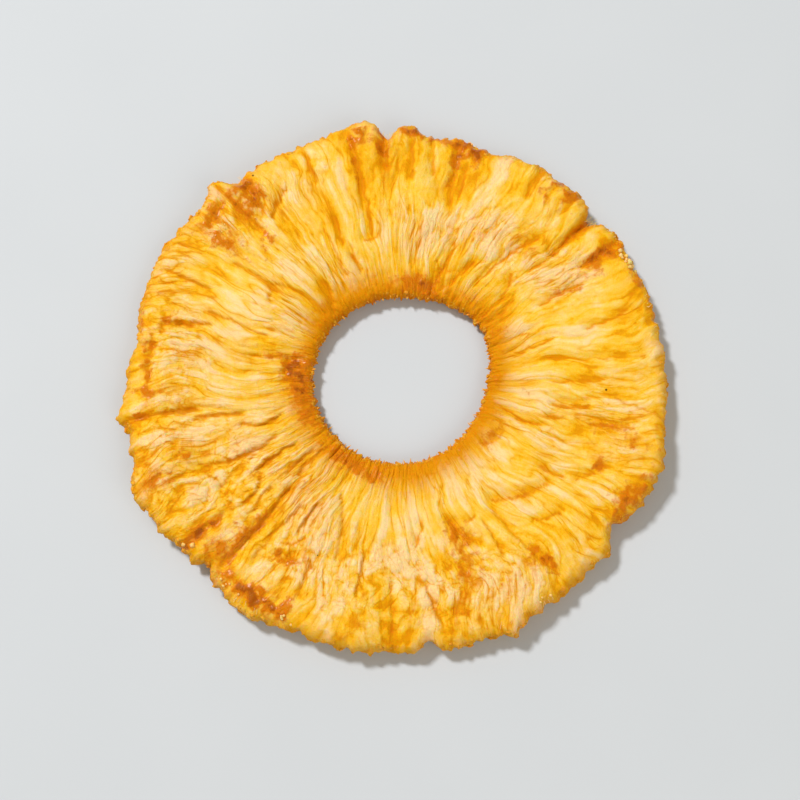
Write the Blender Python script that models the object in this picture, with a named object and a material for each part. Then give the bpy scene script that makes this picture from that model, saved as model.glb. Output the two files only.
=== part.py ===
# Dried pineapple ring: one slice with its core punched out, dried until its rim has
# shrunk into lobes and clefts and its face has puckered along the fibres.
# It lies flat with its better face up, and the origin is under the middle of its
# outline. Sizes below are in millimetres and angles in degrees, anticlockwise from +X.
# A reach is how far out a place lies: 0 at the hole's edge and 1 at the nominal rim.

import math

import bmesh
import bpy
import numpy as np
from mathutils import Vector, noise

MM = 0.001

# Outline
RIM_RADIUS = 40.35
RIM_DRIFT_X = 0.4
RIM_DRIFT_Y = -0.7
NOMINAL_RIM = 40.5
HOLE_RADIUS = 12.9
HOLE_X = 0.75
HOLE_Y = -0.38
HOLE_BULGE = 1.85
HOLE_BULGE_ANGLE = 33.0
HOLE_BULGE_SPREAD = 30.0

# Section
THICKNESS = 4.0
HOLE_THINNING = 0.9
HOLE_THINNING_REACH = 0.22
RIM_SWELL = 0.45
RIM_SWELL_REACH = 0.86
EDGE_ROUND_RIM = 2.3
EDGE_ROUND_HOLE = 1.7
EDGE_POWER = 2.3
EDGE_LINE = 0.47
THINNEST = 1.3

# Waves of the whole slice, and the finer puckering of its face
WAVE_HEIGHT = 0.45
PUCKER_HEIGHT = 0.55
UNDER_WAVE = 0.75
UNDER_LEVEL = -0.12

# Mesh
STEPS_AROUND = 180
STEPS_SECTION = 30
EDGE_CROWDING = 0.55
TORUS_RADIUS = 26.5
TORUS_TUBE = 13.0

# Rim lobes and clefts: angle, push outwards, spread in degrees
LOBES = (
    (32.0, 0.6, 2.5),
    (38.8, -1.6, 1.9),
    (45.0, 0.4, 3.0),
    (55.0, 0.6, 1.8),
    (68.0, -1.0, 4.0),
    (80.5, -1.1, 4.0),
    (86.5, 0.7, 2.2),
    (91.3, -1.8, 1.5),
    (96.5, 1.4, 2.6),
    (102.0, 0.6, 3.5),
    (128.0, -0.8, 1.8),
    (133.0, 1.7, 2.5),
    (151.0, 0.95, 9.5),
    (172.0, -0.7, 5.0),
    (188.5, 1.5, 2.6),
    (206.0, 2.1, 4.2),
    (213.5, 0.8, 4.0),
    (227.0, -1.6, 2.8),
    (239.0, 0.9, 4.0),
    (250.5, -0.25, 4.0),
    (269.5, -0.4, 3.0),
    (277.0, -1.1, 2.3),
    (294.0, 1.2, 1.8),
    (301.5, -0.5, 2.2),
    (311.0, -0.7, 5.0),
    (324.5, -1.9, 3.2),
    (340.0, 1.0, 5.5),
)

# Places where the slice has curled up off the table: angle, rise at the rim, spread
LIFTS = (
    (18.0, 0.5, 16.0),
    (97.0, 0.9, 14.0),
    (134.0, 1.2, 11.0),
    (205.0, 1.3, 13.0),
    (250.0, 0.6, 14.0),
    (340.0, 1.1, 15.0),
)
LIFT_POWER = 2.2

# Creases in the face: angle and reach of both ends, sideways bow, depth, half width
CREASES = (
    (38.7, 1.02, 38.4, 0.62, 0.0, 1.5, 1.1),
    (31.6, 1.00, 30.4, 0.72, 0.3, 0.9, 1.0),
    (44.6, 0.62, 50.2, 0.18, -0.6, 0.7, 1.0),
    (67.0, 0.34, 71.5, 0.04, 0.4, 0.8, 1.0),
    (53.0, 0.32, 66.0, 0.17, 0.3, 0.5, 0.9),
    (34.8, 0.26, 33.0, 0.02, 0.5, 0.5, 0.8),
    (4.0, 0.88, 6.8, 0.34, 0.3, 0.5, 1.1),
    (74.2, 0.94, 73.2, 0.56, 0.0, 0.6, 1.1),
    (92.5, 1.02, 92.3, 0.74, 0.0, 1.1, 1.0),
    (100.7, 0.94, 99.8, 0.36, 0.5, 0.8, 1.1),
    (127.4, 0.94, 128.0, 0.70, 0.0, 0.8, 1.1),
    (132.8, 0.98, 131.8, 0.64, 0.0, 0.7, 1.1),
    (143.2, 0.38, 139.0, 0.07, 0.9, 0.5, 0.9),
    (127.4, 0.20, 133.0, 0.04, 0.3, 0.6, 0.9),
    (181.0, 0.86, 170.5, 0.86, 0.0, 0.7, 1.0),
    (172.0, 0.32, 169.8, 0.10, 0.0, 0.5, 0.9),
    (190.4, 1.00, 190.0, 0.62, 0.0, 0.9, 1.2),
    (193.0, 0.64, 194.4, 0.40, 0.3, 0.8, 1.0),
    (205.8, 0.68, 206.9, 0.26, -1.0, 0.6, 1.0),
    (214.0, 0.64, 210.0, 0.40, 0.3, 0.5, 1.0),
    (220.3, 1.00, 220.2, 0.72, 0.0, 0.7, 1.1),
    (228.9, 0.90, 227.0, 0.38, -0.5, 0.8, 1.1),
    (233.3, 0.76, 235.6, 0.40, 0.3, 0.5, 1.0),
    (252.4, 0.57, 244.8, 0.24, -0.6, 0.5, 1.0),
    (269.6, 0.96, 269.0, 0.66, 0.0, 0.5, 1.1),
    (294.9, 0.54, 288.7, 0.36, 0.3, 0.9, 1.1),
    (308.6, 0.90, 304.6, 0.42, 0.5, 0.5, 1.1),
    (323.6, 0.53, 306.6, 0.38, 0.7, 0.7, 1.1),
    (335.4, 0.77, 328.8, 0.65, 0.0, 0.6, 1.0),
    (346.4, 0.84, 345.2, 0.62, 0.0, 0.7, 1.1),
    (350.8, 0.98, 353.4, 0.72, 0.3, 0.5, 1.1),
)

# Plump pads between the creases: angle, reach, height, radius
PADS = (
    (10.0, 0.62, 0.35, 6.0),
    (34.0, 0.55, 0.45, 5.0),
    (47.5, 0.84, 0.35, 4.5),
    (60.0, 0.62, 0.45, 6.0),
    (83.0, 0.45, 0.35, 5.5),
    (96.0, 0.78, 0.40, 4.5),
    (108.0, 0.60, 0.40, 6.0),
    (135.5, 0.22, 0.70, 5.0),
    (137.0, 0.58, 0.30, 5.0),
    (152.0, 0.45, 0.40, 6.0),
    (170.0, 0.56, 0.45, 5.5),
    (187.0, 0.80, 0.45, 4.0),
    (201.0, 0.82, 0.40, 4.5),
    (212.0, 0.82, 0.35, 5.0),
    (224.0, 0.55, 0.35, 4.0),
    (246.0, 0.42, 0.45, 5.5),
    (258.0, 0.75, 0.35, 6.0),
    (284.0, 0.70, 0.30, 6.0),
    (300.0, 0.62, 0.40, 5.5),
    (316.0, 0.72, 0.45, 7.0),
    (334.0, 0.45, 0.35, 6.5),
    (352.0, 0.30, 0.40, 5.0),
    (338.0, 0.86, 0.35, 5.0),
)


def angle_between(angle, other):
    """Signed difference of two angles in degrees, from -180 to 180."""
    return (angle - other + 180.0) % 360.0 - 180.0


def bell(distance, spread):
    """A smooth hump, 1 high at its middle."""
    return np.exp(-((distance / spread) ** 2))


def rim_radius(angle):
    """Radius of the shrunken rim."""
    turn = np.radians(angle)
    radius = RIM_RADIUS + RIM_DRIFT_X * np.cos(turn) + RIM_DRIFT_Y * np.sin(turn)
    for middle, push, spread in LOBES:
        radius = radius + push * bell(angle_between(angle, middle), spread)
    return radius


def hole_point(angle):
    """Point on the edge of the punched hole."""
    turn = np.radians(angle)
    bulge = HOLE_BULGE * bell(angle_between(angle, HOLE_BULGE_ANGLE), HOLE_BULGE_SPREAD)
    radius = HOLE_RADIUS + bulge
    return HOLE_X + radius * np.cos(turn), HOLE_Y + radius * np.sin(turn)


def place(angle, reach, rim=NOMINAL_RIM):
    """Point on the ring, from the hole's edge (reach 0) to the rim (reach 1)."""
    turn = np.radians(angle)
    hole_x, hole_y = hole_point(angle)
    x = hole_x + reach * (rim * np.cos(turn) - hole_x)
    y = hole_y + reach * (rim * np.sin(turn) - hole_y)
    return x, y


def crease_depth(x, y, crease):
    """How far one crease sinks the face at each point."""
    angle_a, reach_a, angle_b, reach_b, bow, depth, half_width = crease
    ax, ay = place(angle_a, reach_a)
    bx, by = place(angle_b, reach_b)
    length = math.hypot(bx - ax, by - ay)
    along = ((x - ax) * (bx - ax) + (y - ay) * (by - ay)) / length**2
    across = ((y - ay) * (bx - ax) - (x - ax) * (by - ay)) / length
    inside = np.clip(along, 0.0, 1.0)
    across = across - bow * 4.0 * inside * (1.0 - inside)
    beyond = (along - inside) * length
    return depth * bell(np.hypot(across, beyond), half_width)


def pad_height(x, y, pad):
    """How far one plump pad raises the face at each point."""
    angle, reach, height, radius = pad
    px, py = place(angle, reach)
    return height * bell(np.hypot(x - px, y - py), radius)


def smooth_noise(x, y, scale, layer):
    """Soft seeded noise from -1 to 1, with features about one scale wide."""
    points = zip(x / scale, y / scale)
    values = [noise.noise(Vector((px, py, layer))) for px, py in points]
    return np.array(values)


def radial_noise(angle, reach, folds, layer):
    """Noise drawn out along the fibres, so that it reads as puckers across them."""
    turn = np.radians(angle)
    ring = folds / (2.0 * math.pi)
    points = zip(np.cos(turn) * ring, np.sin(turn) * ring, reach * 1.6 + layer)
    values = [noise.noise(Vector(point)) for point in points]
    return np.array(values)


def curl(angle, reach):
    """Height by which the slice has lifted off the table."""
    rise = np.zeros_like(angle)
    for middle, height, spread in LIFTS:
        rise = rise + height * bell(angle_between(angle, middle), spread)
    return rise * np.clip(reach, 0.0, 1.2) ** LIFT_POWER


def edge_rounding(reach, width):
    """Share of the full thickness left near the two edges."""
    from_hole = np.clip(reach * width / EDGE_ROUND_HOLE, 0.0, 1.0)
    from_rim = np.clip((1.0 - reach) * width / EDGE_ROUND_RIM, 0.0, 1.0)
    hole_side = (1.0 - (1.0 - from_hole) ** EDGE_POWER) ** (1.0 / EDGE_POWER)
    rim_side = (1.0 - (1.0 - from_rim) ** EDGE_POWER) ** (1.0 / EDGE_POWER)
    return hole_side * rim_side


def face_heights(x, y, angle, reach):
    """Heights of the upper and lower face before the edges are rounded."""
    lift = curl(angle, reach)
    wave = WAVE_HEIGHT * smooth_noise(x, y, 17.0, 0.3)
    thinning = HOLE_THINNING * bell(reach, HOLE_THINNING_REACH)
    swell = RIM_SWELL * bell(reach - RIM_SWELL_REACH, 0.16)
    upper = lift + THICKNESS + wave - thinning + swell
    upper = upper + PUCKER_HEIGHT * radial_noise(angle, reach, 26.0, 4.0) * (0.2 + 0.8 * reach)
    for pad in PADS:
        upper = upper + pad_height(x, y, pad)
    for crease in CREASES:
        upper = upper - crease_depth(x, y, crease)
    lower = lift + UNDER_LEVEL + UNDER_WAVE * smooth_noise(x, y, 9.0, 7.7)
    lower = np.maximum(lower, 0.0)
    upper = np.maximum(upper, lower + THINNEST)
    return upper, lower


def shape_ring(mesh):
    """Moves the torus's vertices on to the slice's surface."""
    points = np.empty(len(mesh.vertices) * 3)
    mesh.vertices.foreach_get("co", points)
    points = points.reshape(-1, 3) / MM
    angle = np.degrees(np.arctan2(points[:, 1], points[:, 0])) % 360.0
    out = np.hypot(points[:, 0], points[:, 1]) - TORUS_RADIUS
    section = np.arctan2(points[:, 2], out)
    step = 1.0 - np.abs(section) / math.pi
    crowded = 0.5 * (1.0 - np.cos(math.pi * step))
    reach = (1.0 - EDGE_CROWDING) * step + EDGE_CROWDING * crowded

    rim = rim_radius(angle)
    x, y = place(angle, reach, rim)
    hole_x, hole_y = hole_point(angle)
    width = rim - np.hypot(hole_x, hole_y)
    upper, lower = face_heights(x, y, angle, reach)
    middle = lower + EDGE_LINE * (upper - lower)
    rounding = edge_rounding(reach, width)
    face = np.where(section >= 0.0, upper, lower)
    z = middle + rounding * (face - middle)

    shaped = np.stack((x, y, z), axis=1) * MM
    mesh.vertices.foreach_set("co", shaped.ravel())
    mesh.update()


def split_quads(mesh):
    """Splits the slightly bent quads into flat triangles."""
    builder = bmesh.new()
    builder.from_mesh(mesh)
    bmesh.ops.triangulate(builder, faces=builder.faces[:], quad_method="SHORT_EDGE")
    builder.to_mesh(mesh)
    builder.free()


def flesh_material():
    """Golden dried flesh, satin and slightly sticky."""
    material = bpy.data.materials.new("dried_flesh")
    material.use_nodes = True
    shader = material.node_tree.nodes["Principled BSDF"]
    shader.inputs["Base Color"].default_value = (0.88, 0.47, 0.06, 1.0)
    shader.inputs["Roughness"].default_value = 0.45
    shader.inputs["Metallic"].default_value = 0.0
    return material


def make_ring(collection):
    """The whole slice, one closed solid."""
    bpy.ops.mesh.primitive_torus_add(
        major_segments=STEPS_AROUND,
        minor_segments=STEPS_SECTION,
        major_radius=TORUS_RADIUS * MM,
        minor_radius=TORUS_TUBE * MM,
        location=(0.0, 0.0, 0.0),
    )
    ring = bpy.context.object
    ring.name = "pineapple_ring"
    ring.data.name = "pineapple_ring"
    for other in list(ring.users_collection):
        other.objects.unlink(ring)
    collection.objects.link(ring)
    shape_ring(ring.data)
    split_quads(ring.data)
    ring.data.materials.append(flesh_material())
    ring.data.shade_smooth()
    return ring


def main():
    """Clears the scene and builds the slice."""
    for leftover in list(bpy.data.objects):
        bpy.data.objects.remove(leftover, do_unlink=True)
    collection = bpy.data.collections.new("dried_pineapple_ring")
    bpy.context.scene.collection.children.link(collection)
    make_ring(collection)


main()
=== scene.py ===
"""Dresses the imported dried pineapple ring: creased flesh, teeth, hairs, beads and a stage."""

import math
import random

import bpy
import numpy as np
from bpy.props import FloatProperty, FloatVectorProperty, IntProperty, PointerProperty
from mathutils import Matrix, Vector, noise


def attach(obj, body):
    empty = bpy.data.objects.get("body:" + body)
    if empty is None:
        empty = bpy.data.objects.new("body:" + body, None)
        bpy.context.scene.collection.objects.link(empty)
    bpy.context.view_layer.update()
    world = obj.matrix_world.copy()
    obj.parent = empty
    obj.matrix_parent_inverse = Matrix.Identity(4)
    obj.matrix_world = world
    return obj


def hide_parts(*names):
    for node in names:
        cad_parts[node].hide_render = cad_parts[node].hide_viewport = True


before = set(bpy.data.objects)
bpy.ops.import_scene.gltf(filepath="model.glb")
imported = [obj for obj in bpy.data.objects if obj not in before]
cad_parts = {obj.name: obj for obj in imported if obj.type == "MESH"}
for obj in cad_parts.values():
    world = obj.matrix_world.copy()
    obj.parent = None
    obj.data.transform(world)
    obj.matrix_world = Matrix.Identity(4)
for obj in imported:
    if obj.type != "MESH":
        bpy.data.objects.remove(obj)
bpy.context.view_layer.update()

bl_info = {
    "name": "Dried pineapple ring",
    "version": (1, 0, 0),
    "blender": (4, 5, 0),
    "location": "View3D > Sidebar > Pineapple",
    "description": "Builds a dried pineapple ring with creased flesh, teeth, hairs and beads",
    "category": "Object",
}

BODY = "root"
NODE = "pineapple_ring"
MM = 0.001

# Lengths below are in millimetres and angles in degrees, anticlockwise from +X. A reach
# is how far out a place lies: 0 at the hole's edge and 1 at the nominal rim.

RIM_DRIFT_X = 0.4
RIM_DRIFT_Y = -0.7
NOMINAL_RIM = 40.5
HOLE_X = 0.75
HOLE_Y = -0.38
HOLE_BULGE = 1.85
HOLE_BULGE_ANGLE = 33.0
HOLE_BULGE_SPREAD = 30.0

HOLE_THINNING = 0.9
HOLE_THINNING_REACH = 0.22
RIM_SWELL = 0.45
RIM_SWELL_REACH = 0.86
EDGE_ROUND_RIM = 2.3
EDGE_ROUND_HOLE = 1.7
EDGE_POWER = 2.3
EDGE_LINE = 0.47
THINNEST = 1.3
LIFT_POWER = 2.2
WAVE_HEIGHT = 0.45
PUCKER_HEIGHT = 0.55
UNDER_WAVE = 0.75
UNDER_LEVEL = -0.12

# Mesh of the slice: most of the section's rows go to the face that shows. The torus tool
# makes at most 256 steps round, so each step is split afterwards.
STEPS_AROUND = 1024
STEPS_TOP = 70
STEPS_UNDER = 26
STEP_SPLITS = 4
ROUND_ROWS = 0.12
TORUS_RADIUS = 26.5
TORUS_TUBE = 13.0

# Small pieces: where rays start and stop, least upward facing, and the crumbs at each edge
RAY_HEIGHT = 40.0
REACH_STEP = 0.004
FACING_UP = 0.15
CRUMB_EDGE = 0.2
CRUMB_GROUPS = ((True, 1100, 0.46), (False, 320, 0.36))

# Camera, with its elevation estimated from how round the photographed outline comes out
CAMERA_ELEVATION = 76.0
CAMERA_DISTANCE = 205.0
CAMERA_AIM = (0.51, -1.35, 2.2)
CAMERA_SHIFT = (0.00375, -0.01875)
LENS = 61.5
SENSOR_WIDTH = 36.0
FLOOR_SIZE = 6.0
FLOOR_DROP = 0.02

# Lamps: name, place in metres, size, power, colour
LAMPS = (
    ("key_light", (-0.53, 0.49, 0.93), 0.16, 11.8, (1.0, 0.98, 0.94)),
    ("fill_light", (0.40, -0.50, 0.50), 0.60, 2.0, (1.0, 0.94, 0.82)),
)
ROOM_COLOUR = (1.0, 0.92, 0.78, 1.0)
ROOM_STRENGTH = 0.375

# Rim lobes and clefts: angle, push outwards, spread in degrees
LOBES = (
    (32.0, 0.6, 2.5),
    (38.8, -1.6, 1.9),
    (45.0, 0.4, 3.0),
    (55.0, 0.6, 1.8),
    (68.0, -1.0, 4.0),
    (80.5, -1.1, 4.0),
    (86.5, 0.7, 2.2),
    (91.3, -1.8, 1.5),
    (96.5, 1.4, 2.6),
    (102.0, 0.6, 3.5),
    (128.0, -0.8, 1.8),
    (133.0, 1.7, 2.5),
    (151.0, 0.95, 9.5),
    (172.0, -0.7, 5.0),
    (188.5, 1.5, 2.6),
    (206.0, 2.1, 4.2),
    (213.5, 0.8, 4.0),
    (227.0, -1.6, 2.8),
    (239.0, 0.9, 4.0),
    (250.5, -0.25, 4.0),
    (269.5, -0.4, 3.0),
    (277.0, -1.1, 2.3),
    (294.0, 1.2, 1.8),
    (301.5, -0.5, 2.2),
    (311.0, -0.7, 5.0),
    (324.5, -1.9, 3.2),
    (340.0, 1.0, 5.5),
)

# Places where the slice has curled up off the table: angle, rise at the rim, spread
LIFTS = (
    (18.0, 0.5, 16.0),
    (97.0, 0.9, 14.0),
    (134.0, 1.2, 11.0),
    (205.0, 1.3, 13.0),
    (250.0, 0.6, 14.0),
    (340.0, 1.1, 15.0),
)

# Main creases: angle and reach of both ends, sideways bow, depth, half width
CREASES = (
    (38.7, 1.02, 38.4, 0.62, 0.0, 1.5, 1.1),
    (31.6, 1.0, 30.4, 0.72, 0.3, 0.9, 1.0),
    (44.6, 0.62, 50.2, 0.18, -0.6, 0.7, 1.0),
    (67.0, 0.34, 71.5, 0.04, 0.4, 0.8, 1.0),
    (53.0, 0.32, 66.0, 0.17, 0.3, 0.5, 0.9),
    (34.8, 0.26, 33.0, 0.02, 0.5, 0.5, 0.8),
    (4.0, 0.88, 6.8, 0.34, 0.3, 0.5, 1.1),
    (74.2, 0.94, 73.2, 0.56, 0.0, 0.6, 1.1),
    (92.5, 1.02, 92.3, 0.74, 0.0, 1.1, 1.0),
    (100.7, 0.94, 99.8, 0.36, 0.5, 0.8, 1.1),
    (127.4, 0.94, 128.0, 0.7, 0.0, 0.8, 1.1),
    (132.8, 0.98, 131.8, 0.64, 0.0, 0.7, 1.1),
    (143.2, 0.38, 139.0, 0.07, 0.9, 0.5, 0.9),
    (127.4, 0.2, 133.0, 0.04, 0.3, 0.6, 0.9),
    (181.0, 0.86, 170.5, 0.86, 0.0, 0.7, 1.0),
    (172.0, 0.32, 169.8, 0.1, 0.0, 0.5, 0.9),
    (190.4, 1.0, 190.0, 0.62, 0.0, 0.9, 1.2),
    (193.0, 0.64, 194.4, 0.4, 0.3, 0.8, 1.0),
    (205.8, 0.68, 206.9, 0.26, -1.0, 0.6, 1.0),
    (214.0, 0.64, 210.0, 0.4, 0.3, 0.5, 1.0),
    (220.3, 1.0, 220.2, 0.72, 0.0, 0.7, 1.1),
    (228.9, 0.9, 227.0, 0.38, -0.5, 0.8, 1.1),
    (233.3, 0.76, 235.6, 0.4, 0.3, 0.5, 1.0),
    (252.4, 0.57, 244.8, 0.24, -0.6, 0.5, 1.0),
    (269.6, 0.96, 269.0, 0.66, 0.0, 0.5, 1.1),
    (294.9, 0.54, 288.7, 0.36, 0.3, 0.9, 1.1),
    (308.6, 0.9, 304.6, 0.42, 0.5, 0.5, 1.1),
    (323.6, 0.53, 306.6, 0.38, 0.7, 0.7, 1.1),
    (335.4, 0.77, 328.8, 0.65, 0.0, 0.6, 1.0),
    (346.4, 0.84, 345.2, 0.62, 0.0, 0.7, 1.1),
    (350.8, 0.98, 353.4, 0.72, 0.3, 0.5, 1.1),
)

# Plump pads between the creases: angle, reach, height, radius
PADS = (
    (10.0, 0.62, 0.35, 6.0),
    (34.0, 0.55, 0.45, 5.0),
    (47.5, 0.84, 0.35, 4.5),
    (60.0, 0.62, 0.45, 6.0),
    (83.0, 0.45, 0.35, 5.5),
    (96.0, 0.78, 0.4, 4.5),
    (108.0, 0.6, 0.4, 6.0),
    (135.5, 0.22, 0.7, 5.0),
    (137.0, 0.58, 0.3, 5.0),
    (152.0, 0.45, 0.4, 6.0),
    (170.0, 0.56, 0.45, 5.5),
    (187.0, 0.8, 0.45, 4.0),
    (201.0, 0.82, 0.4, 4.5),
    (212.0, 0.82, 0.35, 5.0),
    (224.0, 0.55, 0.35, 4.0),
    (246.0, 0.42, 0.45, 5.5),
    (258.0, 0.75, 0.35, 6.0),
    (284.0, 0.7, 0.3, 6.0),
    (300.0, 0.62, 0.4, 5.5),
    (316.0, 0.72, 0.45, 7.0),
    (334.0, 0.45, 0.35, 6.5),
    (352.0, 0.3, 0.4, 5.0),
    (338.0, 0.86, 0.35, 5.0),
)

# Narrow creases between the main ones, in the same terms
FINE_CREASES = (
    (26.6, 0.66, 26.9, 0.38, 0.0, 0.35, 0.35),
    (13.6, 0.38, 12.2, 0.15, 0.2, 0.35, 0.35),
    (15.6, 0.84, 13.8, 0.58, 0.3, 0.3, 0.3),
    (42.2, 0.35, 37.6, 0.2, 0.2, 0.3, 0.3),
    (38.0, 0.62, 38.8, 0.44, 0.0, 0.3, 0.3),
    (36.9, 0.22, 37.2, 0.02, 0.0, 0.35, 0.35),
    (54.2, 0.98, 53.4, 0.78, 0.0, 0.35, 0.35),
    (44.2, 0.98, 44.6, 0.8, 0.0, 0.3, 0.3),
    (71.4, 0.78, 70.8, 0.62, 0.0, 0.3, 0.3),
    (80.6, 0.88, 79.8, 0.7, 0.2, 0.3, 0.35),
    (85.6, 0.94, 85.2, 0.66, 0.0, 0.3, 0.3),
    (80.8, 0.42, 82.2, 0.18, 0.2, 0.3, 0.3),
    (57.0, 0.28, 62.0, 0.12, 0.2, 0.35, 0.35),
    (60.0, 0.14, 66.0, 0.06, 0.2, 0.35, 0.35),
    (97.5, 0.34, 103.5, 0.33, 0.5, 0.35, 0.35),
    (111.6, 0.95, 111.2, 0.72, 0.0, 0.3, 0.3),
    (110.6, 0.5, 111.6, 0.34, 0.0, 0.35, 0.3),
    (109.4, 0.32, 108.8, 0.16, 0.0, 0.3, 0.3),
    (115.4, 0.46, 116.2, 0.18, 0.0, 0.3, 0.3),
    (127.2, 0.66, 119.6, 0.76, 0.3, 0.35, 0.35),
    (140.4, 0.86, 135.2, 0.9, 0.2, 0.45, 0.45),
    (144.6, 0.62, 144.4, 0.34, 0.3, 0.3, 0.35),
    (149.0, 0.34, 146.4, 0.36, 0.2, 0.3, 0.3),
    (154.6, 0.92, 154.5, 0.66, 0.0, 0.35, 0.3),
    (161.2, 0.62, 163.2, 0.28, 0.2, 0.3, 0.4),
    (166.8, 0.76, 164.4, 0.58, 0.0, 0.5, 0.35),
    (169.8, 0.82, 165.6, 0.82, 0.0, 0.35, 0.35),
    (178.0, 0.14, 171.0, 0.14, 0.2, 0.4, 0.4),
    (198.0, 0.4, 198.9, 0.2, -0.8, 0.4, 0.35),
    (214.0, 0.64, 220.4, 0.67, 0.3, 0.35, 0.35),
    (214.0, 0.64, 208.0, 0.67, -0.2, 0.35, 0.35),
    (215.0, 0.44, 214.1, 0.2, 0.2, 0.45, 0.35),
    (221.2, 0.6, 216.2, 0.43, -0.9, 0.4, 0.35),
    (224.8, 0.58, 222.8, 0.44, 0.2, 0.35, 0.35),
    (225.8, 0.28, 225.0, 0.1, 0.2, 0.4, 0.35),
    (222.2, 0.32, 221.4, 0.14, 0.0, 0.35, 0.35),
    (239.0, 0.52, 239.6, 0.36, 0.2, 0.35, 0.3),
    (241.2, 0.66, 235.6, 0.73, 0.3, 0.5, 0.4),
    (241.2, 0.56, 236.8, 0.62, 0.2, 0.4, 0.35),
    (247.2, 0.82, 246.4, 0.64, 0.0, 0.35, 0.35),
    (268.8, 0.44, 253.0, 0.57, 0.4, 0.16, 0.4),
    (260.4, 0.74, 260.6, 0.52, 0.0, 0.3, 0.35),
    (279.4, 0.34, 276.6, 0.47, 0.2, 0.4, 0.35),
    (298.4, 0.4, 291.0, 0.39, 0.3, 0.35, 0.3),
    (299.8, 0.66, 300.0, 0.44, 0.0, 0.3, 0.35),
    (319.4, 0.68, 312.6, 0.61, 0.3, 0.4, 0.35),
    (327.4, 0.58, 326.4, 0.44, 0.0, 0.35, 0.35),
    (331.4, 0.17, 321.6, 0.13, 0.3, 0.4, 0.4),
    (340.2, 0.34, 343.4, 0.1, 0.3, 0.35, 0.35),
    (350.4, 0.58, 348.8, 0.38, 0.2, 0.45, 0.35),
    (345.4, 0.46, 344.6, 0.38, 0.0, 0.4, 0.35),
    (358.8, 0.66, 358.0, 0.36, 0.4, 0.3, 0.3),
    (280.4, 0.86, 278.4, 0.68, 0.2, 0.4, 0.35),
    (287.2, 0.87, 284.0, 0.85, 0.0, 0.35, 0.35),
)

# Amber and brown syrupy patches: angle, reach, length along the fibres, width, strength
AMBER = (
    (87.0, 0.96, 1.6, 3.0, 0.7),
    (80.5, 0.93, 1.4, 4.0, 0.8),
    (72.5, 0.9, 3.0, 2.4, 1.0),
    (69.6, 0.92, 1.8, 1.5, 1.0),
    (74.3, 0.74, 4.5, 0.9, 0.6),
    (49.5, 0.89, 3.0, 3.4, 0.6),
    (47.0, 0.96, 1.2, 3.5, 0.6),
    (38.6, 0.84, 4.0, 1.0, 0.7),
    (30.6, 0.86, 3.6, 1.2, 1.0),
    (28.4, 0.78, 3.5, 1.6, 0.5),
    (21.5, 0.97, 0.9, 3.0, 0.8),
    (12.0, 0.99, 0.7, 4.0, 0.5),
    (26.8, 0.58, 3.5, 1.2, 0.4),
    (43.5, 0.54, 1.5, 2.2, 0.4),
    (83.0, 0.08, 1.6, 2.2, 0.7),
    (74.5, 0.07, 1.4, 1.8, 0.9),
    (69.5, 0.12, 2.5, 0.8, 0.6),
    (98.6, 0.93, 2.4, 1.6, 1.0),
    (100.4, 0.78, 4.5, 0.7, 0.7),
    (92.6, 0.86, 3.0, 1.3, 1.2),
    (127.6, 0.85, 3.2, 1.6, 1.2),
    (137.5, 0.89, 1.3, 3.2, 1.0),
    (141.2, 0.76, 3.2, 1.8, 0.7),
    (132.2, 0.77, 4.0, 1.0, 0.8),
    (132.4, 0.59, 1.2, 1.2, 0.7),
    (140.0, 0.5, 4.0, 3.6, 0.3),
    (160.5, 0.95, 1.0, 2.0, 0.5),
    (176.5, 0.86, 1.0, 3.4, 1.1),
    (168.5, 0.95, 1.0, 2.0, 0.7),
    (166.5, 0.8, 1.2, 2.0, 0.6),
    (170.5, 0.18, 2.5, 0.9, 0.6),
    (176.0, 0.12, 1.0, 2.2, 1.0),
    (172.0, 0.07, 2.2, 1.6, 0.8),
    (184.8, 0.85, 3.5, 1.2, 0.6),
    (190.4, 0.92, 1.6, 1.0, 1.3),
    (201.6, 0.73, 1.6, 1.6, 0.6),
    (205.6, 0.9, 3.0, 1.4, 0.8),
    (220.3, 0.9, 4.0, 0.9, 1.2),
    (225.5, 0.84, 5.0, 2.6, 0.6),
    (228.5, 0.62, 4.5, 0.8, 0.6),
    (233.8, 0.93, 1.8, 2.8, 1.0),
    (240.8, 0.94, 1.6, 2.2, 1.6),
    (245.5, 0.92, 2.2, 1.8, 1.0),
    (239.0, 0.68, 1.0, 2.2, 0.8),
    (244.8, 0.63, 1.4, 2.0, 0.4),
    (236.0, 0.08, 1.2, 1.8, 0.8),
    (246.0, 0.07, 1.2, 2.2, 0.7),
    (255.5, 0.08, 1.2, 1.6, 0.7),
    (183.0, 0.07, 1.5, 2.2, 1.1),
    (196.0, 0.06, 1.4, 2.0, 0.8),
    (209.0, 0.06, 1.2, 2.2, 0.6),
    (334.0, 0.97, 1.6, 3.6, 0.7),
    (330.0, 0.93, 1.8, 1.6, 0.7),
    (325.4, 0.95, 1.0, 1.6, 1.1),
    (342.8, 0.86, 5.0, 1.4, 0.5),
    (335.0, 0.72, 1.0, 1.3, 1.0),
    (308.7, 0.84, 2.2, 1.0, 1.0),
    (307.6, 0.76, 1.6, 1.0, 0.7),
    (303.8, 0.77, 1.4, 1.2, 0.5),
    (295.0, 0.8, 0.7, 1.2, 0.6),
    (288.4, 0.65, 2.2, 1.3, 0.6),
    (290.5, 0.45, 3.0, 1.8, 0.7),
    (292.0, 0.6, 3.5, 2.6, 0.3),
    (279.6, 0.8, 2.0, 1.0, 0.5),
    (316.0, 0.46, 1.0, 3.6, 0.4),
    (350.0, 0.23, 1.2, 3.6, 0.3),
    (327.0, 0.13, 1.2, 3.0, 0.5),
    (346.0, 0.7, 3.0, 0.8, 0.6),
)

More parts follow.
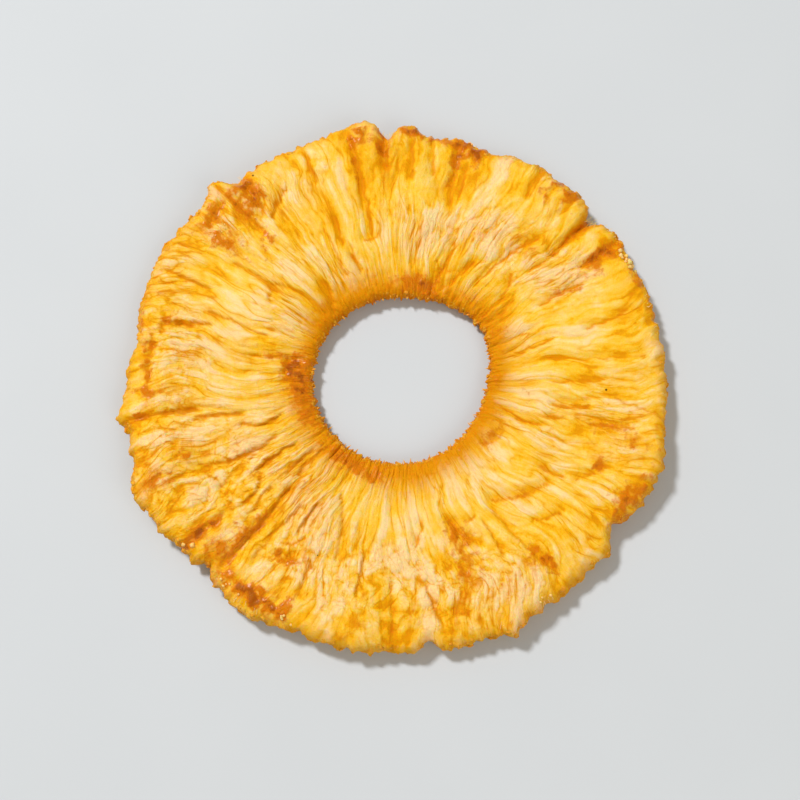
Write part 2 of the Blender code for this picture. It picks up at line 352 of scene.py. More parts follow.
# Pale, dry patches on the ridges: angle, reach, length along the fibres, width, strength
PALE = (
    (5.0, 0.84, 4.0, 2.6, 0.7),
    (14.5, 0.52, 5.0, 2.0, 0.7),
    (22.0, 0.62, 3.5, 2.4, 0.8),
    (26.0, 0.97, 1.0, 2.2, 0.9),
    (59.5, 0.6, 3.2, 2.4, 0.9),
    (48.5, 0.42, 4.5, 1.3, 0.8),
    (63.5, 0.86, 3.5, 1.6, 0.6),
    (76.0, 0.48, 2.4, 1.6, 0.9),
    (79.0, 0.3, 3.0, 1.6, 0.7),
    (96.0, 0.36, 1.6, 3.0, 0.7),
    (106.0, 0.82, 5.0, 2.6, 0.9),
    (118.0, 0.7, 4.0, 2.4, 0.8),
    (134.5, 0.3, 2.6, 2.2, 0.6),
    (150.5, 0.17, 2.2, 2.0, 0.6),
    (144.8, 0.46, 4.0, 0.9, 0.7),
    (170.0, 0.52, 2.4, 3.0, 0.9),
    (188.0, 0.48, 3.0, 2.0, 0.6),
    (194.0, 0.31, 1.6, 2.4, 0.5),
    (205.4, 0.96, 1.6, 1.0, 1.0),
    (214.0, 0.72, 2.6, 1.2, 1.0),
    (208.0, 0.38, 3.6, 1.2, 0.8),
    (223.0, 0.53, 2.6, 1.6, 0.8),
    (246.0, 0.42, 4.5, 3.2, 0.5),
    (255.2, 0.86, 3.6, 1.6, 1.0),
    (258.0, 0.6, 3.0, 1.6, 0.8),
    (243.5, 0.72, 0.9, 1.4, 0.9),
    (279.8, 0.6, 1.0, 1.2, 1.0),
    (296.0, 0.42, 3.0, 2.2, 0.5),
    (310.0, 0.9, 2.4, 2.2, 0.8),
    (318.0, 0.8, 2.2, 1.6, 0.6),
    (312.0, 0.3, 4.5, 3.6, 0.6),
    (340.0, 0.8, 3.0, 2.0, 0.5),
    (333.0, 0.6, 4.0, 3.0, 0.5),
    (349.0, 0.38, 3.0, 2.4, 0.8),
    (351.5, 0.92, 2.6, 2.0, 0.5),
)

# Leathery, crinkled areas: angle, reach, length along the fibres, width, strength
LEATHERY = (
    (197.0, 0.8, 8.0, 10.0, 1.0),
    (212.0, 0.55, 9.0, 8.0, 0.8),
    (235.0, 0.6, 8.0, 8.0, 0.9),
    (262.0, 0.7, 8.0, 10.0, 0.8),
    (283.0, 0.75, 7.0, 9.0, 1.0),
    (302.0, 0.78, 6.0, 6.0, 0.8),
    (345.0, 0.75, 7.0, 6.0, 0.7),
    (172.0, 0.75, 6.0, 7.0, 0.7),
    (134.0, 0.78, 5.0, 6.0, 0.9),
    (28.0, 0.6, 5.0, 4.0, 0.6),
    (60.0, 0.55, 6.0, 6.0, 0.5),
    (46.0, 0.4, 5.0, 5.0, 0.6),
)

# Dark specks: angle, reach, radius
SPECKS = (
    (355.5, 0.665, 0.18),
    (247.4, 0.592, 0.09),
    (124.8, 0.912, 0.16),
)


# Clusters of beads: angle, reach, half spread in degrees, number, radius
BEAD_CLUSTERS = (
    (27.0, 0.965, 2.2, 12, 0.34),
    (25.0, 0.985, 1.6, 6, 0.28),
    (221.8, 0.955, 0.3, 1, 0.36),
    (219.9, 0.965, 0.3, 1, 0.3),
    (233.0, 0.965, 3.0, 5, 0.22),
    (247.0, 0.955, 2.0, 5, 0.22),
    (72.0, 0.955, 1.5, 4, 0.2),
    (140.0, 0.8, 2.5, 7, 0.13),
    (303.0, 0.97, 1.5, 4, 0.22),
)

# Tufts of fine fibres: angle, reach, half spread in degrees, number, length
HAIR_TUFTS = (
    (38.5, 0.93, 1.6, 16, 1.5),
    (34.0, 0.985, 2.5, 6, 0.8),
    (91.5, 0.94, 1.6, 12, 1.0),
    (16.0, 0.99, 6.0, 8, 0.7),
    (238.5, 0.995, 3.0, 7, 0.7),
    (294.0, 0.995, 1.5, 5, 1.0),
    (303.0, 0.995, 1.5, 5, 0.8),
    (128.0, 0.97, 1.2, 5, 0.8),
)


class SliceSizes(bpy.types.PropertyGroup):
    """Sizes of the slice and of what grows on it."""

    rim_radius: FloatProperty(
        name="Rim radius",
        description="Mean radius of the shrunken rim",
        default=40.35 * MM,
        unit="LENGTH",
    )
    hole_radius: FloatProperty(
        name="Hole radius",
        description="Radius of the punched core hole",
        default=12.9 * MM,
        unit="LENGTH",
    )
    thickness: FloatProperty(
        name="Thickness",
        description="Mean thickness of the dried flesh",
        default=4.0 * MM,
        unit="LENGTH",
    )
    pleat_height: FloatProperty(
        name="Pleat height",
        description="Depth of the creases that run along the fibres",
        default=0.45 * MM,
        unit="LENGTH",
    )
    tooth_length: FloatProperty(
        name="Tooth length",
        description="Length that the teeth's random lengths are scaled from",
        default=0.80 * MM,
        unit="LENGTH",
    )
    tooth_count: IntProperty(
        name="Tooth count",
        description="Number of teeth round the hole",
        default=132,
        min=3,
    )


class FleshColours(bpy.types.PropertyGroup):
    """Colours of the dried flesh, in linear light."""

    # Cream and straw lie on the pad tops and ridges, and are paler there partly as painted light.
    cream: FloatVectorProperty(
        name="Cream",
        description="Dry fibres on the highest ridges",
        subtype="COLOR",
        size=4,
        default=(0.885, 0.68, 0.345, 1.0),
    )
    straw: FloatVectorProperty(
        name="Straw",
        description="Dry pads",
        subtype="COLOR",
        size=4,
        default=(0.89, 0.64, 0.185, 1.0),
    )
    gold: FloatVectorProperty(
        name="Gold",
        description="Most of the face",
        subtype="COLOR",
        size=4,
        default=(0.89, 0.592, 0.095, 1.0),
    )
    saffron: FloatVectorProperty(
        name="Saffron",
        description="Slopes between pads",
        subtype="COLOR",
        size=4,
        default=(0.89, 0.545, 0.036, 1.0),
    )
    # Marigold in the hollows is partly painted shade and partly moist flesh.
    marigold: FloatVectorProperty(
        name="Marigold",
        description="Moist hollows",
        subtype="COLOR",
        size=4,
        default=(0.87, 0.455, 0.005, 1.0),
    )
    # Orange at the bottoms of creases and on the edges' walls is painted shade; round the hole it is
    # the band's own colour.
    orange: FloatVectorProperty(
        name="Orange",
        description="Band round the hole and bottoms of creases",
        subtype="COLOR",
        size=4,
        default=(0.76, 0.325, 0.002, 1.0),
    )
    # Amber also serves as painted shade deep in the creases and on the edges' walls.
    amber: FloatVectorProperty(
        name="Amber",
        description="Syrupy patches",
        subtype="COLOR",
        size=4,
        default=(0.66, 0.205, 0.002, 1.0),
    )
    brown: FloatVectorProperty(
        name="Brown",
        description="Bottoms of clefts and the darkest syrup",
        subtype="COLOR",
        size=4,
        default=(0.40, 0.10, 0.003, 1.0),
    )
    soot: FloatVectorProperty(
        name="Soot",
        description="The three dark specks",
        subtype="COLOR",
        size=4,
        default=(0.14, 0.05, 0.005, 1.0),
    )


def angle_between(angle, other):
    """Signed difference of two angles in degrees, from -180 to 180."""
    return (angle - other + 180.0) % 360.0 - 180.0


def bell(distance, spread):
    """A smooth hump, 1 high at its middle."""
    return np.exp(-((distance / spread) ** 2))


def rim_radius(angle):
    """Radius of the shrunken rim."""
    turn = np.radians(angle)
    mean = bpy.context.scene.pineapple_sizes.rim_radius / MM
    radius = mean + RIM_DRIFT_X * np.cos(turn) + RIM_DRIFT_Y * np.sin(turn)
    for middle, push, spread in LOBES:
        radius = radius + push * bell(angle_between(angle, middle), spread)
    return radius


def hole_point(angle):
    """Point on the edge of the punched hole."""
    turn = np.radians(angle)
    mean = bpy.context.scene.pineapple_sizes.hole_radius / MM
    bulge = HOLE_BULGE * bell(angle_between(angle, HOLE_BULGE_ANGLE), HOLE_BULGE_SPREAD)
    radius = mean + bulge
    return HOLE_X + radius * np.cos(turn), HOLE_Y + radius * np.sin(turn)


def place(angle, reach, rim=NOMINAL_RIM):
    """Point on the ring, from the hole's edge (reach 0) to the rim (reach 1)."""
    turn = np.radians(angle)
    hole_x, hole_y = hole_point(angle)
    x = hole_x + reach * (rim * np.cos(turn) - hole_x)
    y = hole_y + reach * (rim * np.sin(turn) - hole_y)
    return x, y


def crease_offsets(x, y, crease):
    """Distance across one crease, signed to its left, and distance past its ends."""
    angle_a, reach_a, angle_b, reach_b, bow = crease[:5]
    ax, ay = place(angle_a, reach_a)
    bx, by = place(angle_b, reach_b)
    length = math.hypot(bx - ax, by - ay)
    along = ((x - ax) * (bx - ax) + (y - ay) * (by - ay)) / length**2
    across = ((y - ay) * (bx - ax) - (x - ax) * (by - ay)) / length
    inside = np.clip(along, 0.0, 1.0)
    across = across - bow * 4.0 * inside * (1.0 - inside)
    beyond = (along - inside) * length
    return across, beyond


def patch(x, y, spot):
    """Strength of one oval patch whose long axis points along the fibres."""
    angle, reach, length, width, strength = spot
    px, py = place(angle, reach)
    turn = math.radians(angle)
    along = (x - px) * math.cos(turn) + (y - py) * math.sin(turn)
    across = (y - py) * math.cos(turn) - (x - px) * math.sin(turn)
    return strength * bell(np.hypot(along / length, across / width), 1.0)


def flat_noise(x, y, scale, layer):
    """Soft noise from -1 to 1 over the plane, with features about one scale wide."""
    points = zip(x / scale, y / scale)
    return np.array([noise.noise(Vector((px, py, layer))) for px, py in points])


def polar_noise(angle, reach, folds, rows, layer):
    """Soft noise from -1 to 1 drawn out along the fibres, with so many folds all round."""
    turn = np.radians(angle)
    ring = folds / (2.0 * math.pi)
    depth = reach * rows + layer + np.zeros_like(turn)
    points = zip(np.cos(turn) * ring, np.sin(turn) * ring, depth)
    return np.array([noise.noise(Vector(point)) for point in points])


def pleat(value, sharpness):
    """Turns soft noise into plump pads, 1 high, parted by sharp valleys at 0."""
    return 1.0 - np.exp(-np.abs(value) / sharpness)


def curl(angle, reach):
    """Height by which the slice has lifted off the table."""
    rise = np.zeros_like(angle)
    for middle, height, spread in LIFTS:
        rise = rise + height * bell(angle_between(angle, middle), spread)
    return rise * np.clip(reach, 0.0, 1.2) ** LIFT_POWER


def edge_rounding(from_hole, from_rim):
    """Share of the full thickness left at these distances from the two edges."""
    near_hole = np.clip(from_hole / EDGE_ROUND_HOLE, 0.0, 1.0)
    near_rim = np.clip(from_rim / EDGE_ROUND_RIM, 0.0, 1.0)
    hole_side = (1.0 - (1.0 - near_hole) ** EDGE_POWER) ** (1.0 / EDGE_POWER)
    rim_side = (1.0 - (1.0 - near_rim) ** EDGE_POWER) ** (1.0 / EDGE_POWER)
    return hole_side * rim_side


def broad_face(x, y, angle, reach):
    """Upper face's broad height: curl, waves, puckers, pads and main creases."""
    thickness = bpy.context.scene.pineapple_sizes.thickness / MM
    thinning = HOLE_THINNING * bell(reach, HOLE_THINNING_REACH)
    swell = RIM_SWELL * bell(reach - RIM_SWELL_REACH, 0.16)
    height = curl(angle, reach) + thickness + WAVE_HEIGHT * flat_noise(x, y, 17.0, 0.3)
    height = height - thinning + swell
    pucker = polar_noise(angle, reach, 26.0, 1.6, 4.0)
    height = height + PUCKER_HEIGHT * pucker * (0.2 + 0.8 * reach)
    for pad_angle, pad_reach, rise, radius in PADS:
        px, py = place(pad_angle, pad_reach)
        height = height + rise * bell(np.hypot(x - px, y - py), radius)
    return height


def under_face(x, y, angle, reach):
    """Lower face's broad height, flat where the slice rests."""
    height = curl(angle, reach) + UNDER_LEVEL + UNDER_WAVE * flat_noise(x, y, 9.0, 7.7)
    return np.maximum(height, 0.0)


def fold_profile(across, beyond, width):
    """Section of a fold: a gentle slope on one side and a sharp wall on the other."""
    side = np.where(across > 0.0, 0.34, 1.25) * width
    return np.exp(-((across / side) ** 2) - (beyond / width) ** 2)


def fine_face(x, y, angle, reach):
    """Fine relief of the upper face and the masks that colour it."""
    pleat_height = bpy.context.scene.pineapple_sizes.pleat_height / MM
    warp = 5.0 * polar_noise(angle, reach, 7.0, 2.0, 11.0)
    warp = warp + 2.4 * polar_noise(angle, reach, 20.0, 4.0, 13.0)
    bent = angle + warp + 0.7 * polar_noise(angle, reach, 60.0, 12.0, 15.0)
    drift = reach + 0.10 * polar_noise(angle, reach, 18.0, 3.4, 17.0)

    leathery = np.clip(sum(patch(x, y, spot) for spot in LEATHERY), 0.0, 1.0)
    amber = sum(patch(x, y, spot) for spot in AMBER)
    pale = sum(patch(x, y, spot) for spot in PALE)
    band_edge = reach + 0.035 * polar_noise(angle, reach, 22.0, 1.0, 19.0)
    band = bell(band_edge, 0.125 + 0.04 * polar_noise(angle, 0.0, 9.0, 1.0, 21.0))

    calm = np.clip(0.66 + 1.3 * polar_noise(angle, reach, 13.0, 3.4, 23.0), 0.2, 1.0)
    calm = calm * (1.0 - 0.45 * np.clip(pale, 0.0, 1.0))
    broad = polar_noise(bent, drift, 54.0, 2.2, 31.0)
    middle = polar_noise(bent, drift, 116.0, 3.6, 37.0)
    small = polar_noise(bent, drift, 230.0, 7.0, 41.0)
    crinkle = flat_noise(x + 0.8 * warp, y + 0.5 * warp, 3.0, 43.0)
    crimp = flat_noise(x - 0.4 * warp, y + 0.5 * warp, 1.5, 45.0)
    crumb = flat_noise(x, y, 0.95, 47.0)
    ribs = polar_noise(angle + 0.3 * warp, reach, 96.0, 3.0, 53.0)

    busy = np.clip(0.35 + 1.6 * polar_noise(angle, reach, 16.0, 3.0, 29.0), 0.0, 1.0)
    near_hole = bell(reach, 0.34)
    relief = 0.90 * pleat_height * calm * (pleat(broad, 0.20) - 0.62)
    detail = 0.50 * pleat_height * (0.35 + 0.65 * busy) * (pleat(middle, 0.20) - 0.6)
    small_share = np.maximum(0.9 * near_hole, 0.3 + 0.7 * busy)
    detail = detail + 0.22 * pleat_height * small_share * (pleat(small, 0.2) - 0.6)
    detail = detail + 0.30 * leathery * (pleat(crinkle, 0.18) - 0.65)
    detail = detail + 0.13 * leathery * (pleat(crimp, 0.2) - 0.6)
    relief = relief + detail + 0.22 * band * (pleat(ribs, 0.22) - 0.5)
    rim_zone = bell(reach - 1.0, 0.08)
    syrup = np.clip(amber, 0.0, 1.0)
    relief = relief + (0.05 + 0.34 * rim_zone + 0.17 * syrup + 0.20 * band**3) * crumb

    groove = np.zeros_like(angle)
    stray = 0.35 * crimp + 0.25 * crumb
    for crease in CREASES:
        depth, half_width = crease[5:]
        across, beyond = crease_offsets(x, y, crease)
        across = across + stray
        wide = bell(np.hypot(across, beyond), half_width)
        narrow = fold_profile(across, beyond, 0.7 * half_width)
        relief = relief - depth * (0.35 * wide + 0.60 * narrow)
        groove = np.maximum(groove, 1.3 * depth * bell(np.hypot(across, beyond), 0.28))
    for crease in FINE_CREASES:
        depth, half_width = crease[5:]
        across, beyond = crease_offsets(x, y, crease)
        across = across + stray
        relief = relief - 1.25 * depth * fold_profile(across, beyond, 2.0 * half_width)
        groove = np.maximum(groove, 2.6 * depth * bell(np.hypot(across, beyond), 0.24))
    valley = 0.9 * np.exp(-np.abs(broad) / 0.09) * calm
    valley = np.maximum(valley, 0.8 * np.exp(-np.abs(middle) / 0.12) * busy)
    valley = np.maximum(valley, 0.8 * np.exp(-np.abs(crinkle) / 0.09) * leathery)
    # The crease mask colours grooves and valleys deeper: painted shade.
    crease_mask = np.clip(groove + 0.6 * valley, 0.0, 1.0)
    tint = 0.60 * polar_noise(bent, drift, 34.0, 3.5, 91.0)
    tint = tint + 0.85 * polar_noise(bent, drift, 90.0, 4.5, 93.0)
    tint = tint + 0.62 * bell(reach - 0.36, 0.30) - 0.26

    turn = np.radians(bent)
    masks = {
        # The relief mask colours the face too: deeper in hollows as painted shade, paler on ridges as
        # painted light, partly the flesh's own tone.
        "relief": np.clip(0.5 + 0.85 * relief + 1.1 * detail, 0.0, 1.0),
        "crease": crease_mask,
        "amber": np.clip(amber * (1.0 + 1.0 * crumb + 0.9 * crimp + 0.6 * middle), 0.0, 2.0),
        "pale": np.clip(pale * (1.0 + 1.2 * crinkle + 0.9 * middle), 0.0, 1.3),
        "band": band,
        "tint": np.clip(0.5 + 0.5 * tint, 0.0, 1.0),
        "busy": np.maximum(0.25 + 0.75 * busy, 0.8 * near_hole),
        "leathery": leathery,
    }
    fibre = np.stack((np.cos(turn), np.sin(turn), drift), axis=1)
    return relief, masks, fibre


def torus_steps(mesh):
    """Angle round the ring and place round its section, 0 to 1 from the rim over the top."""
    points = np.empty(len(mesh.vertices) * 3)
    mesh.vertices.foreach_get("co", points)
    points = points.reshape(-1, 3) / MM
    angle = np.degrees(np.arctan2(points[:, 1], points[:, 0])) % 360.0
    out = np.hypot(points[:, 0], points[:, 1]) - TORUS_RADIUS
    section = np.arctan2(points[:, 2], out) / (2.0 * math.pi) % 1.0
    rows = STEPS_TOP + STEPS_UNDER
    row = np.round(section * rows) % rows
    return angle, row


def row_distances(row, width):
    """Distances from the hole's and the rim's edge, with rows crowded at both edges."""
    on_top = row <= STEPS_TOP
    step = np.where(on_top, 1.0 - row / STEPS_TOP, (row - STEPS_TOP) / STEPS_UNDER)
    hole_turn = np.clip(step / ROUND_ROWS, 0.0, 1.0) * math.pi / 2.0
    rim_turn = np.clip((1.0 - step) / ROUND_ROWS, 0.0, 1.0) * math.pi / 2.0
    middle = np.clip((step - ROUND_ROWS) / (1.0 - 2.0 * ROUND_ROWS), 0.0, 1.0)
    flat = width - EDGE_ROUND_HOLE - EDGE_ROUND_RIM
    from_hole = EDGE_ROUND_HOLE * (1.0 - np.cos(hole_turn)) + flat * middle
    from_hole = from_hole + EDGE_ROUND_RIM * np.cos(rim_turn)
    return on_top, from_hole, width - from_hole


def shape_slice(mesh):
    """Moves the torus's vertices on to the slice's surface and stores its masks."""
    angle, row = torus_steps(mesh)
    rim = rim_radius(angle)
    ragged = 0.45 * polar_noise(angle, 0.0, 120.0, 1.0, 61.0)
    ragged = ragged + 0.32 * polar_noise(angle, 0.0, 250.0, 1.0, 67.0)
    rim = rim + ragged
    hole_x, hole_y = hole_point(angle)
    width = rim - np.hypot(hole_x, hole_y)
    on_top, from_hole, from_rim = row_distances(row, width)
    reach = from_hole / width
    x, y = place(angle, reach, rim)

    relief, masks, fibre = fine_face(x, y, angle, reach)
    upper = broad_face(x, y, angle, reach) + relief
    lower = under_face(x, y, angle, reach)
    hollows = 1.0 - pleat(polar_noise(angle, reach, 64.0, 2.8, 71.0), 0.16)
    crinkles = 1.0 - pleat(flat_noise(x, y, 3.8, 73.0), 0.14)
    lower = lower + 0.34 * hollows + 0.22 * crinkles
    upper = np.maximum(upper, lower + THINNEST)

    middle = lower + EDGE_LINE * (upper - lower)
    rounding = edge_rounding(from_hole, from_rim)
    face = np.where(on_top, upper, lower)
    z = middle + rounding * (face - middle)

    outward = np.where(reach > 0.5, 1.0, -1.0)
    edge = 1.0 - rounding
    lumps = flat_noise(angle * 0.71, z, 1.5, 79.0) * 0.6
    lumps = lumps + flat_noise(angle * 0.71, z, 0.8, 83.0) * 0.5
    nicks = 0.45 * flat_noise(angle * 0.24, z, 0.8, 89.0)
    nicks = nicks + 0.40 * polar_noise(angle, 0.0, 150.0, 1.0, 97.0)
    nicks = nicks + 0.40 * polar_noise(angle, 0.0, 290.0, 1.0, 99.0)
    lumps = np.where(reach > 0.5, lumps, nicks)
    turn = np.radians(angle)
    x = x + outward * edge * lumps * np.cos(turn)
    y = y + outward * edge * lumps * np.sin(turn)

    mesh.vertices.foreach_set("co", (np.stack((x, y, z), axis=1) * MM).ravel())
    # The underside's hollows and crinkles are coloured deeper: painted shade.
    under_relief = np.clip(0.62 - 0.8 * hollows - 0.5 * crinkles, 0.0, 1.0)
    masks["relief"] = np.where(on_top, masks["relief"], under_relief)
    masks["crease"] = np.where(on_top, masks["crease"], 0.6 * np.clip(hollows - 0.6, 0.0, 1.0))
    masks["side"] = edge
    for label, values in masks.items():
        layer = mesh.attributes.new(label, "FLOAT", "POINT")
        layer.data.foreach_set("value", values.astype(np.float32))
    layer = mesh.attributes.new("fibre", "FLOAT_VECTOR", "POINT")
    layer.data.foreach_set("vector", fibre.astype(np.float32).ravel())
    mesh.update()


def surface_point(angle, reach):
    """Point of the finished slice's face at one place, moved inwards until it is on it."""
    piece = bpy.data.objects["creased_slice"]
    down = Vector((0.0, 0.0, -1.0))
    while reach > 0.0:
        x, y = place(angle, reach)
        hit, point, normal, _ = piece.ray_cast(Vector((x, y, RAY_HEIGHT)) * MM, down)
        if hit and normal.z > FACING_UP:
            return point / MM
        reach -= REACH_STEP
    raise RuntimeError("No surface was found under this place")


def add_socket(tree, name, direction, kind, default=None):
    """Adds one named input or output to a node group."""
    socket = tree.interface.new_socket(name=name, in_out=direction, socket_type=kind)
    if default is not None:
        socket.default_value = default
    return socket


def add_node(tree, kind, **inputs):
    """Adds a node and sets the inputs named with underscores for spaces."""
    node = tree.nodes.new(kind)
    for key, value in inputs.items():
        node.inputs[key.replace("_", " ")].default_value = value
    return node


def maths(tree, operation, first, second=None, third=None, clamp=False):
    """Adds a Math node whose inputs are sockets or numbers and returns its output."""
    node = tree.nodes.new("ShaderNodeMath")
    node.operation = operation
    node.use_clamp = clamp
    for index, value in enumerate((first, second, third)):
        if value is None:
            continue
        if isinstance(value, (int, float)):
            node.inputs[index].default_value = value
        else:
            tree.links.new(value, node.inputs[index])
    return node.outputs[0]


def times(tree, first, second, clamp=False):
    """Multiplies two sockets, or a socket and a number."""
    return maths(tree, "MULTIPLY", first, second, clamp=clamp)


def scaled(tree, socket, weight, offset, clamp=False):
    """A socket times its weight, plus an offset that may be a socket too."""
    return maths(tree, "MULTIPLY_ADD", socket, weight, offset, clamp=clamp)


def mixed(tree, factor, first, second):
    """Mixes two colours by a factor socket and returns the result."""
    node = tree.nodes.new("ShaderNodeMix")
    node.data_type = "RGBA"
    node.clamp_factor = True
    tree.links.new(factor, node.inputs[0])
    for value, socket in ((first, node.inputs[6]), (second, node.inputs[7])):
        if isinstance(value, bpy.types.NodeSocket):
            tree.links.new(value, socket)
        else:
            socket.default_value = tuple(value)
    return node.outputs[2]


def noise_node(tree, vector, scale, detail, roughness, distortion=0.0):
    """Adds a Noise Texture on a vector socket and returns its value output."""
    node = add_node(tree, "ShaderNodeTexNoise", Scale=scale, Detail=detail, Roughness=roughness)
    node.inputs["Distortion"].default_value = distortion
    tree.links.new(vector, node.inputs["Vector"])
    return node.outputs[0]


def pad_group():
    """Node group for plump pads: their height, the thin lines between them and a soft tone."""
    tree = bpy.data.node_groups.new("plump_pads", "ShaderNodeTree")
    add_socket(tree, "Vector", "INPUT", "NodeSocketVector")
    for name, default in (("Across", 6.0), ("Along", 3.0)):
        add_socket(tree, name, "INPUT", "NodeSocketFloat", default)
    for name in ("Pads", "Lines", "Tone"):
        add_socket(tree, name, "OUTPUT", "NodeSocketFloat")
    inside = tree.nodes.new("NodeGroupInput")
    outside = tree.nodes.new("NodeGroupOutput")
    scale = tree.nodes.new("ShaderNodeCombineXYZ")
    for axis, name in enumerate(("Across", "Across", "Along")):
        tree.links.new(inside.outputs[name], scale.inputs[axis])
    stretch = tree.nodes.new("ShaderNodeVectorMath")
    stretch.operation = "MULTIPLY"
    tree.links.new(inside.outputs["Vector"], stretch.inputs[0])
    tree.links.new(scale.outputs[0], stretch.inputs[1])
    value = noise_node(tree, stretch.outputs[0], 1.0, 1.0, 0.45, 0.7)
    signed = maths(tree, "SUBTRACT", value, 0.5)
    size = maths(tree, "ABSOLUTE", signed)
    pads = maths(tree, "SMOOTH_MIN", size, 0.14, 0.1)
    pads = times(tree, pads, 7.5)
    lines = scaled(tree, size, -18.0, 1.0, clamp=True)
    for name, value in (("Pads", pads), ("Lines", lines), ("Tone", signed)):
        tree.links.new(value, outside.inputs[name])
    return tree


def pad_node(tree, group, vector, across, along):
    """Adds the pad group with so many pads to a unit across and along."""
    node = tree.nodes.new("ShaderNodeGroup")
    node.node_tree = group
    node.inputs["Across"].default_value = across
    node.inputs["Along"].default_value = along
    tree.links.new(vector, node.inputs["Vector"])
    return node


def weighted(tree, start, *terms):
    """Adds up a starting value and sockets times their weights."""
    total = start
    for socket, weight in terms:
        total = scaled(tree, socket, weight, total)
    return total


def attribute(tree, name, vector=False):
    """Reads one of the piece's own attributes."""
    node = tree.nodes.new("ShaderNodeAttribute")
    node.attribute_name = name
    return node.outputs["Vector" if vector else "Fac"]


def new_material(name):
    """A node material with only its Principled shader, and that shader."""
    material = bpy.data.materials.new(name)
    material.use_nodes = True
    return material, material.node_tree, material.node_tree.nodes["Principled BSDF"]


def sink_light(shader, weight, depth):
    """Lets light sink a little way into moist flesh."""
    shader.inputs["Subsurface Weight"].default_value = weight
    shader.inputs["Subsurface Radius"].default_value = (1.0, 0.26, 0.05)
    shader.inputs["Subsurface Scale"].default_value = depth * MM


def speck_mask(tree, spot, angle, reach, radius):
    """Mask of one tiny dark speck seen from above."""
    flat = tree.nodes.new("ShaderNodeVectorMath")
    flat.operation = "MULTIPLY"
    flat.inputs[1].default_value = (1.0, 1.0, 0.0)
    tree.links.new(spot, flat.inputs[0])
    away = tree.nodes.new("ShaderNodeVectorMath")
    away.operation = "DISTANCE"
    x, y = place(angle, reach)
    away.inputs[1].default_value = (float(x) * MM, float(y) * MM, 0.0)
    tree.links.new(flat.outputs[0], away.inputs[0])
    return scaled(tree, away.outputs["Value"], -2.0 / (radius * MM), 2.4, clamp=True)


